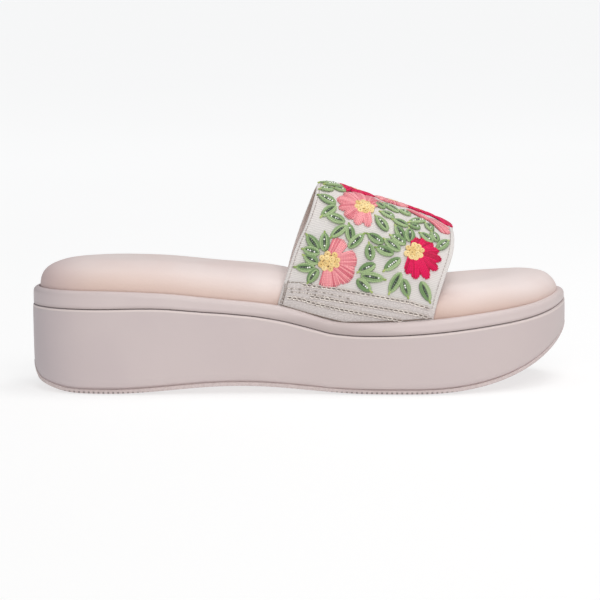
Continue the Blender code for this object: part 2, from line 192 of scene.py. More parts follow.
# Leaves that the photo shows: both ends in the photo and the width in mm.
SEEN_LEAVES = (
    # base_x, base_y, tip_x, tip_y, width
    (337.6, 185.6, 319.7, 183.2, 3.6),
    (333.5, 190.4, 320.4, 189.6, 3.4),
    (345.6, 191.8, 334.2, 188.8, 3.4),
    (335.6, 204.6, 318.8, 195.6, 4.2),
    (336.0, 206.4, 321.6, 216.6, 4.2),
    (344.8, 222.6, 326.4, 215.2, 4.4),
    (346.2, 226.0, 331.0, 237.6, 4.0),
    (351.2, 242.0, 349.0, 224.6, 4.0),
    (348.6, 248.2, 363.6, 234.4, 4.2),
    (318.6, 250.2, 307.0, 235.2, 4.2),
    (324.4, 251.4, 324.6, 233.0, 4.2),
    (319.6, 253.6, 303.4, 249.2, 4.0),
    (318.0, 263.4, 304.2, 255.6, 4.0),
    (315.2, 268.2, 295.8, 267.2, 3.8),
    (318.0, 269.4, 308.2, 282.4, 4.0),
    (387.4, 231.6, 375.8, 216.6, 4.2),
    (394.0, 218.6, 380.8, 212.4, 3.6),
    (384.4, 209.2, 374.2, 202.6, 3.4),
    (398.4, 213.2, 382.2, 204.0, 3.6),
    (410.4, 216.2, 398.6, 211.0, 3.4),
    (407.4, 227.2, 393.4, 220.4, 3.6),
    (425.2, 221.6, 408.8, 222.8, 3.4),
    (420.0, 229.0, 409.4, 226.2, 3.2),
    (404.8, 241.8, 395.4, 226.2, 4.0),
    (410.0, 242.4, 409.0, 229.2, 4.4),
    (383.2, 243.8, 368.0, 234.4, 4.0),
    (399.8, 251.2, 384.6, 239.6, 4.2),
    (405.4, 245.0, 391.0, 235.8, 3.8),
    (393.4, 254.6, 376.2, 247.8, 4.4),
    (371.0, 260.4, 369.0, 244.0, 4.2),
    (400.4, 258.6, 384.4, 270.6, 4.2),
    (432.2, 243.0, 420.2, 233.8, 3.8),
    (437.2, 242.6, 431.2, 232.6, 3.8),
    (436.8, 250.2, 448.0, 241.4, 4.0),
    (432.2, 231.6, 425.4, 224.2, 3.4),
    (375.4, 264.6, 358.8, 272.0, 4.2),
    (360.8, 275.4, 384.2, 279.6, 4.2),
    (357.2, 279.4, 370.8, 291.2, 4.2),
    (401.0, 272.8, 389.6, 293.0, 4.2),
    (403.0, 279.2, 408.0, 296.8, 4.0),
    (421.0, 281.8, 429.6, 301.4, 4.0),
)

# Rows of stitches along the hem of the outer side, and last the double row down its rear
# edge to the rim, as points in the photo.
HEM_ROWS = (
    # kind, then x, y along the row
    ("dark", (286.8, 282.0), (300, 282.6), (314, 284.6)),
    ("braid", (302, 284.6), (314, 286.2), (338, 289.4), (365, 294.2),
     (385, 298), (410, 302.4), (429, 308.6)),
    ("dots", (287.4, 288.4), (306, 289.6), (324, 292.6), (339, 296.0), (352, 299.6)),
    ("dots", (288.4, 291.8), (300, 292.2), (316, 294.6), (334, 298.6)),
    ("braid", (310, 296.4), (324, 298.4), (345, 302.0), (375, 307),
     (396, 310.4), (416, 314.2), (428, 317.2)),
    ("braid", (287.4, 297.4), (301, 299.0), (314, 303.4), (338, 309.0),
     (364, 313.8), (390, 318.6), (402, 320.6)),
    ("dark", (287.6, 298.6), (301, 300.6), (314, 305.0), (338, 310.4), (360, 314.8)),
    ("dark", (287.4, 282.6), (286.6, 289), (284.6, 297), (282.4, 304)),
    ("dark", (285.4, 283.6), (284.6, 289), (282.6, 297), (280.6, 303)),
)

# Where the outer side of the band goes down into the rim, as points in the photo. A dark cord laid along it
# is painted shade.
FOOT_LINE = (
    (279, 304), (298, 310.2), (324, 317.4), (343, 322.2), (370, 321.9), (400, 320.9), (432, 318.2))
FOOT_STEP = 0.0012  # between the points of the dark cord of painted shade that lies there

# The cloth and its lining. The hem's upper line falls towards the toe.
RIB_PITCH = 0.00088
PICK_PITCH = 0.00058
COURSE_PITCH = 0.0009
WALE_PITCH = 0.0007
HEM_TOP_REAR = 0.0501
HEM_TOP_FALL = 0.172
CLOTH_MIDDLE = 0.030  # along the sole, inside the band's edges all the way round
EDGE_SEARCH = 0.06  # the edges lie nearer to the middle than this
EDGE_HALVINGS = 14
EDGE_DEGREES = range(8, 173, 4)

# Sockets of the Mix node that carry colours
MIX_FIRST, MIX_SECOND, MIX_RESULT = 6, 7, 2


class Wire:
    """One output of a material's node, on which shader maths is written as plain sums."""

    def __init__(self, finish, socket):
        self.finish = finish
        self.socket = socket

    def maths(self, operation, first, second=0.0):
        return self.finish.add("ShaderNodeMath", {"operation": operation}, {0: first, 1: second})

    def __add__(self, other):
        return self.maths("ADD", self, other)

    __radd__ = __add__

    def __sub__(self, other):
        return self.maths("SUBTRACT", self, other)

    def __rsub__(self, other):
        return self.maths("SUBTRACT", other, self)

    def __mul__(self, other):
        return self.maths("MULTIPLY", self, other)

    __rmul__ = __mul__

    def __truediv__(self, other):
        return self.maths("DIVIDE", self, other)


class Finish:
    """A material under construction: its nodes, and the shader that they feed."""

    def __init__(self, name, roughness, **constants):
        self.material = bpy.data.materials.new(name)
        self.material.use_nodes = True
        self.tree = self.material.node_tree
        self.shader = self.tree.nodes["Principled BSDF"]
        self.shader.inputs["Roughness"].default_value = roughness
        for socket, value in constants.items():
            self.shader.inputs[socket.replace("_", " ")].default_value = value

    def add(self, kind, settings=None, inputs=None, output=0):
        """One node: its settings first, then values or links on its sockets."""
        node = self.tree.nodes.new(kind)
        for name, value in (settings or {}).items():
            if name == "stops":
                ramp = node.color_ramp
                while len(ramp.elements) < len(value):
                    ramp.elements.new(0.5)
                for element, (place, colour) in zip(ramp.elements, value):
                    element.position = place
                    element.color = colour
            else:
                setattr(node, name, value)
        for name, value in (inputs or {}).items():
            self.feed(node.inputs[name], value)
        return Wire(self, node.outputs[output])

    def feed(self, socket, value):
        if isinstance(value, Wire):
            self.tree.links.new(value.socket, socket)
        else:
            socket.default_value = value

    def place(self):
        """Object coordinates, in metres of the frame."""
        return self.add("ShaderNodeTexCoord", output="Object")

    def axes(self, vector):
        split = self.add("ShaderNodeSeparateXYZ", None, {0: vector})
        outputs = split.socket.node.outputs
        return [Wire(self, outputs[axis]) for axis in ("X", "Y", "Z")]

    def point(self, x, y, z):
        return self.add("ShaderNodeCombineXYZ", None, {0: x, 1: y, 2: z})

    def noise(self, where, scale, detail=2.0, roughness=0.5, stretch=(1, 1, 1)):
        stretched = self.add("ShaderNodeVectorMath", {"operation": "MULTIPLY"}, {0: where, 1: stretch})
        return self.add("ShaderNodeTexNoise", None, {
            "Vector": stretched, "Scale": scale, "Detail": detail, "Roughness": roughness})

    def cells(self, where, scale):
        return self.add("ShaderNodeTexVoronoi", None, {"Vector": where, "Scale": scale})

    def stored(self, name):
        """A value stored on the mesh's points."""
        return self.add("ShaderNodeAttribute", {"attribute_name": name}, output="Fac")

    def along_strand(self):
        """Metres along a strand, and turns around it."""
        return self.axes(self.add("ShaderNodeUVMap", {"uv_map": "along"}))[:2]

    def around_arch(self, across, height):
        """Metres around the band's arch from its outer foot."""
        turn = self.add("ShaderNodeMath", {"operation": "ARCTAN2"}, {0: height - ARCH_BASE, 1: 0 - across})
        return turn * ARCH_RADIUS

    def sine(self, value, pitch):
        return self.add("ShaderNodeMath", {"operation": "SINE"}, {0: value * (TURN / pitch)})

    def waves(self, value, pitch):
        """0 to 1 and back, once in each pitch."""
        return self.sine(value, pitch) * 0.5 + 0.5

    def rise(self, value, low, high):
        """0 below low and 1 above high, softly."""
        return self.add("ShaderNodeMapRange", {"interpolation_type": "SMOOTHSTEP", "clamp": True}, {
            "Value": value, "From Min": low, "From Max": high})

    def blend(self, share, first, second):
        """A colour between two colours."""
        return self.add("ShaderNodeMix", {"data_type": "RGBA"}, {
            "Factor": share, MIX_FIRST: first, MIX_SECOND: second}, output=MIX_RESULT)

    def colour(self, value):
        self.feed(self.shader.inputs["Base Color"], value)

    def roughness(self, value):
        self.feed(self.shader.inputs["Roughness"], value)

    def relief(self, height, depth, strength=1.0, under=None):
        """Bump of a height of 0 to 1 over a depth in metres."""
        inputs = {"Height": height, "Distance": depth, "Strength": strength}
        if under is not None:
            inputs["Normal"] = under
        bump = self.add("ShaderNodeBump", None, inputs)
        self.feed(self.shader.inputs["Normal"], bump)
        return bump


def tone(red, green, blue):
    """Linear colour of a colour given in 0 to 255."""
    parts = []
    for value in (red, green, blue):
        value /= 255
        parts.append(value / 12.92 if value <= 0.04045 else ((value + 0.055) / 1.055) ** 2.4)
    return (*parts, 1)


def smooth_synthetic(name, base, shade, warm, under, roughness):
    """Smooth coated upholstery: pores and slight clouding, with painted shade at the heel end and where the
    rim turns under, and a painted highlight as a light line just below the parting line."""
    finish = Finish(name, roughness, Coat_Roughness=0.35, Specular_IOR_Level=0.42)
    where = finish.place()
    cloud = finish.noise(where, 22, detail=3)
    soft = finish.noise(where, 7, detail=2)
    colour = finish.blend(finish.rise(cloud, 0.34, 0.68), base, shade)
    colour = finish.blend(finish.rise(soft, 0.42, 0.70) * 0.5, colour, warm)
    # Painted shade: darker and bluer at the heel end, where the walls turn away from the lamps.
    painted_heel_shade = 1 - finish.rise(finish.axes(where)[0], -0.128, -0.098)
    colour = finish.blend(painted_heel_shade * 0.42, colour, tone(176, 166, 172))
    below = finish.stored("below")
    # Painted highlight: a light line just below the parting line, where the wedge's rounded top edge catches
    # the light.
    painted_edge_highlight = finish.rise(below, 0.0002, 0.0005) * (1 - finish.rise(below, 0.0008, 0.0014))
    colour = finish.blend(painted_edge_highlight * 0.55, colour, tone(236, 222, 216))
    # Painted shade: darker towards the rim's lower edge, where its cover turns under, in the colour given as
    # under.
    finish.colour(finish.blend(finish.stored("undercut") * 0.75, colour, under))
    pores = finish.cells(where, 1500)
    wrinkles = finish.noise(where, 420, detail=4, roughness=0.6)
    grain = pores * 0.55 + wrinkles * 0.45
    finish.relief(grain, 0.00006, 0.55, under=finish.relief(soft, 0.0010, 0.25))
    finish.roughness(roughness - 0.06 + 0.14 * cloud)
    return finish.material


def moulded_rubber(name):
    """Outsole rubber: finely speckled, a little dusty, with ribs across its tread whose grooves are darkened
    as painted shade.
    """
    finish = Finish(name, 0.62, Specular_IOR_Level=0.35)
    where = finish.place()
    along, _, height = finish.axes(where)
    speckle = finish.noise(where, 900, detail=2)
    dust = finish.noise(where, 60, detail=4)
    low = 1 - finish.rise(height, 0.0004, 0.0035)
    facing = finish.axes(finish.add("ShaderNodeNewGeometry", output="Normal"))[2]
    underside = 1 - finish.rise(facing, -0.80, -0.50)
    lower_edge = 1 - finish.rise(height, 0.0010, 0.0017)
    grooves = finish.rise(finish.waves(along, TREAD_PITCH), 0.55, 0.80)
    base = finish.blend(finish.rise(speckle, 0.35, 0.7), tone(209, 194, 192), tone(199, 183, 181))
    base = finish.blend(low * dust * 0.30, base, tone(160, 146, 142))
    # Painted shade: darker in the tread's grooves, as dashes along the lower edge and across the underside.
    base = finish.blend(grooves * lower_edge * 0.75, base, tone(104, 92, 92))
    finish.colour(finish.blend(grooves * underside * 0.45, base, tone(138, 124, 122)))
    finish.relief(speckle, 0.00008, 0.5, under=finish.relief(underside * (1 - grooves), 0.0008, 0.8))
    finish.roughness(0.55 + 0.2 * dust)
    return finish.material


def footbed_cover(name):
    """Soft pad cover: pale pink, warmer low on the side, with a fine creased grain; painted light beside the
    band, painted shade at the heel end.
    """
    finish = Finish(name, 0.46, Specular_IOR_Level=0.45, Coat_Roughness=0.4)
    where = finish.place()
    along, _, height = finish.axes(where)
    cloud = finish.noise(where, 26, detail=3)
    rim_height = 0.048 - 0.0135 * finish.rise(along, -0.085, 0.026)
    low = 1 - finish.rise(height - rim_height, 0.0010, 0.0145)
    base = finish.blend(finish.rise(cloud, 0.35, 0.7), tone(231, 217, 214), tone(227, 209, 205))
    towards_toe = finish.rise(along, 0.0, 0.06)
    # Painted light: the upper side beside the band is lightened where the band's shadow falls.
    painted_light_by_band = finish.rise(along, 0.035, 0.060) * (1 - finish.rise(along, 0.066, 0.096))
    upper_side = finish.rise(height, 0.0448, 0.0480)
    base = finish.blend(painted_light_by_band * upper_side * 0.8, base, tone(246, 234, 231))
    base = finish.blend(low * (0.88 + 0.06 * towards_toe), base, tone(219, 192, 180))
    # Painted shade: darker and more purple towards the heel end.
    painted_heel_shade = 1 - finish.rise(along, -0.126, -0.092)
    finish.colour(finish.blend(painted_heel_shade * 0.75, base, tone(203, 181, 182)))
    grain = finish.cells(where, 900)
    creases = finish.noise(where, 300, detail=5, roughness=0.65, stretch=(0.35, 1, 1))
    dents = finish.noise(where, 38, detail=2)
    finish.relief(grain * 0.5 + creases * 0.5, 0.00014, 0.7, under=finish.relief(dents, 0.0008, 0.25))
    finish.roughness(0.46 + 0.16 * cloud)
    return finish.material


def woven_cotton(name):
    """Ivory twill: fine slanting ribs of thick weft, crossed by thinner warp; greyer at the hem."""
    finish = Finish(name, 0.82, Specular_IOR_Level=0.25, Sheen_Weight=0.25, Sheen_Roughness=0.5)
    where = finish.place()
    along, across, height = finish.axes(where)
    arch = finish.around_arch(across, height)
    wobble = finish.noise(where, 160, detail=2)
    slant = along * 0.30 + arch + wobble * 0.0004
    ribs = finish.waves(slant, RIB_PITCH)
    picks = finish.waves(along - arch * 0.30 + wobble * 0.0004, PICK_PITCH)
    slubs = finish.noise(finish.point(along * 0.16, arch, 0.0), 900, detail=2)
    weave = ribs * (0.55 + 0.45 * picks)
    patch = finish.noise(where, 45, detail=3)
    thread = finish.blend(finish.rise(weave, 0.05, 0.75), tone(211, 205, 202), tone(228, 223, 219))
    thread = finish.blend(finish.rise(slubs, 0.45, 0.75) * 0.35, thread, tone(216, 206, 208))
    thread = finish.blend(finish.rise(patch, 0.45, 0.72) * 0.30, thread, tone(208, 208, 207))
    hem_top = HEM_TOP_REAR - HEM_TOP_FALL * along
    hem = 1 - finish.rise(height - hem_top, -0.0006, 0.0006)
    flecks = finish.noise(finish.point(along * 0.7, arch, 0.0), 1500, detail=2)
    plain = finish.blend(finish.rise(flecks, 0.40, 0.66), tone(192, 181, 178), tone(222, 213, 211))
    finish.colour(finish.blend(hem * 0.55, thread, plain))
    finish.relief(weave * 0.70 + slubs * 0.40, 0.00012, 0.65)
    return finish.material


def tricot_lining(name):
    """Taupe knitted lining inside the band, with painted light making it paler low down."""
    finish = Finish(name, 0.9, Specular_IOR_Level=0.2, Sheen_Weight=0.3)
    where = finish.place()
    along, across, height = finish.axes(where)
    arch = finish.around_arch(across, height)
    loops = finish.sine(along, COURSE_PITCH) * finish.sine(arch, WALE_PITCH)
    fuzz = finish.noise(where, 700, detail=3)
    taupe = finish.blend(finish.rise(fuzz, 0.3, 0.7), tone(180, 160, 149), tone(198, 180, 170))
    # Painted light: paler low down, where light comes in from behind through the band's opening.
    pale = 1 - finish.rise(height, 0.066, 0.086)
    finish.colour(finish.blend(pale * 0.75, taupe, tone(244, 232, 228)))
    finish.relief(loops * 0.4 + fuzz * 0.6, 0.00015, 0.6)
    return finish.material


def floss(name, light, dark, gloss=0.55, sheen=0.35):
    """Embroidery floss: twisted plies along each strand, with painted shade between the plies, each strand
    its own shade.
    """
    finish = Finish(name, gloss, Specular_IOR_Level=0.35, Sheen_Weight=sheen, Sheen_Roughness=0.4)
    run, around = finish.along_strand()
    shade = finish.stored("shade")
    twist = finish.waves(run / FLOSS_TWIST + around, 1)
    fibres = finish.noise(finish.point(run * 350, around * 9 + shade * 40, shade * 70), 1.0, detail=3)
    colour = finish.blend(finish.rise(shade * 0.65 + fibres * 0.35, 0.2, 0.75), dark, light)
    # Painted shade: darker in the troughs between the twisted plies.
    finish.colour(finish.blend((1 - twist) * 0.22, colour, dark))
    finish.relief(twist * 0.6 + fibres * 0.4, 0.00016, 0.8)
    finish.roughness(gloss - 0.1 + 0.2 * fibres)
    return finish.material


def metal_thread(name, pale, bright, core):
    """Fine lurex of the hem: pale metal wound on a core, dull in the windings."""
    finish = Finish(name, 0.34, Metallic=0.35, Specular_IOR_Level=0.7)
    run, around = finish.along_strand()
    winding = finish.waves(run / HEM_WINDING + around, 1)
    metal = finish.blend(finish.stored("shade"), pale, bright)
    finish.colour(finish.blend((1 - winding) * 0.35, metal, core))
    finish.relief(winding, 0.00008, 0.6)
    return finish.material


def cut_glass(name):
    """Small dark beads, about a third of them painted near white as glints: a painted highlight."""
    finish = Finish(name, 0.16, Specular_IOR_Level=0.9, Coat_Weight=0.6)
    shade = finish.stored("shade")
    smoky = finish.blend(shade, tone(70, 76, 72), tone(128, 132, 126))
    # Painted highlight: beads whose shade is above about 0.64 are near white, as glints.
    finish.colour(finish.blend(finish.rise(shade, 0.62, 0.66), smoky, tone(246, 246, 242)))
    return finish.material


def pale_floor(name):
    """Plain studio floor with a glow of its own, so that only faint shadows fall on it."""
    finish = Finish(name, 0.9, Specular_IOR_Level=0.05, Emission_Strength=1.0)
    where = finish.place()
    cloud = finish.noise(where, 3, detail=2)
    finish.colour(finish.blend(cloud, tone(163, 163, 163), tone(167, 167, 167)))
    behind = finish.rise(finish.axes(where)[1], -0.45, 1.60)
    glow = finish.blend(behind, (0.622, 0.620, 0.620, 1), (0.800, 0.798, 0.798, 1))
    finish.feed(finish.shader.inputs["Emission Color"], glow)
    return finish.material


def deselect():
    for thing in bpy.context.selected_objects:
        thing.select_set(False)
    bpy.context.view_layer.objects.active = None


def pick(piece):
    deselect()
    piece.select_set(True)
    bpy.context.view_layer.objects.active = piece


def new_object(name, data):
    thing = bpy.data.objects.new(name, data)
    bpy.context.scene.collection.objects.link(thing)
    return thing


def copy_of_node(node, name):
    """A copy of a CAD node whose loose triangles are merged and made quads again."""
    piece = new_object(name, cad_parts[node].data.copy())
    piece.data.materials.clear()
    pick(piece)
    bpy.ops.object.mode_set(mode="EDIT")
    bpy.ops.mesh.customdata_custom_splitnormals_clear()
    bpy.ops.mesh.select_all(action="SELECT")
    bpy.ops.mesh.remove_doubles(threshold=0.00001)
    bpy.ops.mesh.tris_convert_to_quads(face_threshold=math.radians(60), shape_threshold=math.radians(60))
    bpy.ops.object.mode_set(mode="OBJECT")
    return piece


def new_piece(name, points, faces):
    """A new mesh, as an object of its own."""
    mesh = bpy.data.meshes.new(name)
    mesh.from_pydata([tuple(point) for point in points], [], faces)
    return new_object(name, mesh)


def store(piece, name, values):
    """Store a value on each of a piece's points."""
    attribute = piece.data.attributes.new(name, "FLOAT", "POINT")
    attribute.data.foreach_set("value", np.array(values, dtype=np.float32))


def finish_piece(piece, node_slot, *materials):
    """Give a piece its materials and its body; node_slot is not used."""
    for material in materials:
        piece.data.materials.append(material)
    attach(piece, "root")


def smooth(piece, degrees):
    pick(piece)
    bpy.ops.object.shade_smooth_by_angle(angle=math.radians(degrees))


def refine(piece):
    """Subdivide a piece's mesh twice, softly."""
    pick(piece)
    modifier = piece.modifiers.new("finer", "SUBSURF")
    modifier.levels = modifier.render_levels = 2
    bpy.ops.object.modifier_apply(modifier=modifier.name)


def press_together(piece, direction, reach):
    """Close the frame's gap to the next layer: the faces on that side move to meet it."""
    for vertex in piece.data.vertices:
        if vertex.normal.z * direction > 0.1:
            vertex.co.z += direction * reach


def shares(count):
    """So many values, evenly from 0 to 1."""
    return [step / (count - 1) for step in range(count)]


def ease(value, low, high):
    """0 below low and 1 above high, softly."""
    share = min(max((value - low) / (high - low), 0), 1)
    return share * share * (3 - 2 * share)


def lower_toe(piece, only_underside):
    """Bring the toe's spring down a little; nothing goes below the floor."""
    for vertex in piece.data.vertices:
        if only_underside and vertex.normal.z > -0.1:
            continue
        drop = TOE_DROP * ease(vertex.co.x, TOE_START, TOE_START + TOE_LENGTH)
        vertex.co.z = max(vertex.co.z - drop, min(vertex.co.z, 0.00002))


def spread_pad_end(pad):
    """Lean the pad's toe end outward towards its foot, so that it closes on the rim."""
    for vertex in pad.data.vertices:
        end = ease(vertex.co.x, PAD_END, PAD_END + PAD_END_LENGTH)
        foot = 1 - ease(vertex.co.z, PAD_SPREAD_FULL, PAD_SPREAD_TOP)
        vertex.co.x += PAD_SPREAD * end * foot


def bow_front_edge(band):
    for vertex in band.data.vertices:
        high = ease(vertex.co.z, BOW_LOW, BOW_HIGH)
        vertex.co.x += BOW * high * ease(vertex.co.x, BOW_START, BOW_END)


def parting_line(rim):
    """The height of the rim's lower edge, at points along the sole."""
    places = np.array([vertex.co[:] for vertex in rim.data.vertices])
    rear = places[:, 0].min()
    slots = np.round((places[:, 0] - rear) / LINE_STEP).astype(int)
    lowest = np.full(slots.max() + 1, np.inf)
    np.minimum.at(lowest, slots, places[:, 2])
    return rear + LINE_STEP * np.arange(len(lowest)), lowest


def mark_painted_undercut_shade(rim, line):
    """Mark how near each place on the rim is to its lower edge, for the painted shade where the cover turns
    under.
    """
    def nearness(place):
        above = place.z - np.interp(place.x, *line)
        reach = UNDERCUT_SHADE + UNDERCUT_SHADE_AT_BEND * math.exp(-((place.x - BEND_PLACE) / BEND_REACH) ** 2)
        return min(max(1 - above / reach, 0), 1)
    store(rim, "undercut", [nearness(vertex.co) for vertex in rim.data.vertices])


def mark_below(wedge, line):
    """Mark how far below the parting line each place on the wedge is, in metres, to place the painted
    highlight there.
    """
    places = [vertex.co for vertex in wedge.data.vertices]
    store(wedge, "below", [np.interp(place.x, *line) - place.z for place in places])


def build_sole():
    """Outsole, wedge and rim: the frame's own forms on a finer, smoother mesh."""
    outsole = copy_of_node("outsole", "outsole_sheet")
    press_together(outsole, 1, OUTSOLE_PRESSED)
    lower_toe(outsole, only_underside=False)
    refine(outsole)
    finish_piece(outsole, "outsole_rubber", moulded_rubber("moulded rubber"))
    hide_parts("outsole")
    smooth(outsole, 50)

    wedge = copy_of_node("wedge_midsole", "wedge_cover")
    press_together(wedge, -1, WEDGE_PRESSED)
    lower_toe(wedge, only_underside=True)
    refine(wedge)
    finish_piece(wedge, "wedge_cover", smooth_synthetic(
        "wedge upholstery", tone(204, 190, 189), tone(200, 186, 186), tone(207, 192, 189),
        tone(180, 165, 162), 0.44))
    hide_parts("wedge_midsole")
    smooth(wedge, 50)

    rim = copy_of_node("footbed_rim", "rim_cover")
    press_together(rim, -1, RIM_PRESSED)
    refine(rim)
    line = parting_line(rim)
    mark_painted_undercut_shade(rim, line)
    mark_below(wedge, line)
    # The rim's last colour is the painted shade where its cover turns under.
    finish_piece(rim, "rim_cover", smooth_synthetic(
        "rim upholstery", tone(211, 197, 195), tone(207, 192, 191), tone(214, 199, 196),
        tone(158, 144, 141), 0.42))
    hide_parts("footbed_rim")
    smooth(rim, 50)


def build_pad():
    """Padded insole: the frame's form, finer, with the cover's own soft hollows."""
    pad = copy_of_node("insole", "insole_pad")
    spread_pad_end(pad)
    refine(pad)
    finish_piece(pad, "insole_cover", footbed_cover("footbed cover"))
    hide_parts("insole")
    smooth(pad, 60)


def outwardness(face):
    """How squarely a face of the band looks away from the middle of its arch, from -1 to 1."""
    outward = Vector((0, face.center.y, face.center.z - ARCH_BASE))
    return face.normal.dot(outward.normalized())


def build_band():
    """Band: the frame's form, finer, fabric outside and lining inside."""
    band = copy_of_node("upper_band", "band_cloth")
    bow_front_edge(band)
    refine(band)
    finish_piece(band, "band_fabric", woven_cotton("ivory twill"), tricot_lining("taupe lining"))
    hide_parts("upper_band")
    smooth(band, 60)
    for face in band.data.polygons:
        if outwardness(face) < -0.15:
            face.material_index = 1
    return band


def outer_surface(band):
    """The band's outer face, to lay the embroidery on."""
    points = [vertex.co.copy() for vertex in band.data.vertices]
    faces = [tuple(face.vertices) for face in band.data.polygons if outwardness(face) > 0.2]
    return BVHTree.FromPolygons(points, faces)


class Cloth:
    """Places on the band's outer face."""

    def __init__(self, band):
        self.tree = outer_surface(band)

    def seen(self, x, y):
        """The place that the photo shows at a pixel."""
        away = -TO_CAMERA * CAMERA_DISTANCE * PIXELS_PER_METRE
        ray = away + CAMERA_RIGHT * (x - PHOTO_CENTRE[0]) + CAMERA_UP * (PHOTO_CENTRE[1] - y)
        return self.tree.ray_cast(CAMERA_PLACE, ray.normalized())[0]

    def around(self, along, degrees):
        """The place at a length along the sole and an angle around the arch."""
        angle = math.radians(degrees)
        outward = Vector((0, -math.cos(angle), math.sin(angle)))
        start = Vector((along, 0, ARCH_BASE)) + outward * 0.2
        return self.tree.ray_cast(start, -outward)[0]

    def opposite(self, place):
        """The place on the inner side that answers one on the outer side."""
        degrees = math.degrees(math.atan2(place.z - ARCH_BASE, -place.y))
        return self.around(place.x + INNER_SHIFT, 180 - degrees)

    def edge(self, degrees, inset, towards):
        """The place a little way in from the rear (-1) or front (1) edge, at an angle of the arch."""
        inside, outside = CLOTH_MIDDLE, CLOTH_MIDDLE + towards * EDGE_SEARCH
        for _ in range(EDGE_HALVINGS):
            middle = (inside + outside) / 2
            if self.around(middle, degrees):
                inside = middle
            else:
                outside = middle
        return self.around(inside - towards * inset, degrees)

    def settle(self, point):
        """The nearest place on the cloth, and its normal."""
        return self.tree.find_nearest(point)[:2]


def unit(rows):
    return rows / (np.linalg.norm(rows, axis=1)[:, None] + 1e-12)


def lengths_along(points):
    """How far each point of a line is from its start."""
    return np.concatenate([[0], np.cumsum(np.linalg.norm(np.diff(points, axis=0), axis=1))])


def resample(points, step):
    """Points of a line through the given points, a step apart."""
    points = np.asarray(points, dtype=float)
    lengths = lengths_along(points)
    count = max(2, int(round(lengths[-1] / step)) + 1)
    where = np.linspace(0, lengths[-1], count)
    return np.stack([np.interp(where, lengths, points[:, k]) for k in range(points.shape[1])], axis=1)


class Threads:
    """Strands of one colour, gathered into one joined mesh."""

    def __init__(self, name, sides=5):
        self.name = name
        self.sides = sides
        self.points, self.faces, self.shades, self.runs = [], [], [], []

    def strand(self, path, normals, radius, shade, ends):
        """One round strand along a path, narrowed at both ends."""
        path = np.asarray(path, dtype=float)
        normals = np.asarray(normals, dtype=float)
        ahead = unit(np.gradient(path, axis=0))
        side = unit(np.cross(ahead, normals))
        up = np.cross(side, ahead)
        count = len(path)
        share = np.linspace(0, 1, count)
        body = np.sqrt(np.clip(1 - np.abs(2 * share - 1) ** 6, 0, 1)) * (1 - ends) + ends
        body[0] = body[-1] = ends
        lengths = lengths_along(path)
        start = len(self.points)
        for i in range(count):
            for k in range(self.sides):
                turn = TURN * k / self.sides
                offset = side[i] * math.cos(turn) + up[i] * math.sin(turn)
                self.points.append(path[i] + offset * radius * body[i])
                self.shades.append(shade)
        for i in range(count - 1):
            for k in range(self.sides):
                j = (k + 1) % self.sides
                low, high = start + i * self.sides, start + (i + 1) * self.sides
                self.faces.append((low + k, low + j, high + j, high + k))
                self.runs.append((
                    (lengths[i], k / self.sides), (lengths[i], (k + 1) / self.sides),
                    (lengths[i + 1], (k + 1) / self.sides), (lengths[i + 1], k / self.sides)))
        first = tuple(start + k for k in range(self.sides))[::-1]
        last = tuple(start + (count - 1) * self.sides + k for k in range(self.sides))
        for ring, length in ((first, 0.0), (last, lengths[-1])):
            self.faces.append(ring)
            self.runs.append(tuple((length, k / self.sides) for k in range(self.sides)))

    def build(self, material):
        piece = new_piece(self.name, self.points, self.faces)
        piece.data.validate()
        along = piece.data.uv_layers.new(name="along")
        corners = [pair for face in self.runs for pair in face]
        along.data.foreach_set("uv", np.array(corners, dtype=np.float32).ravel())
        store(piece, "shade", self.shades)
        finish_piece(piece, "band_fabric", material)
        smooth(piece, 70)


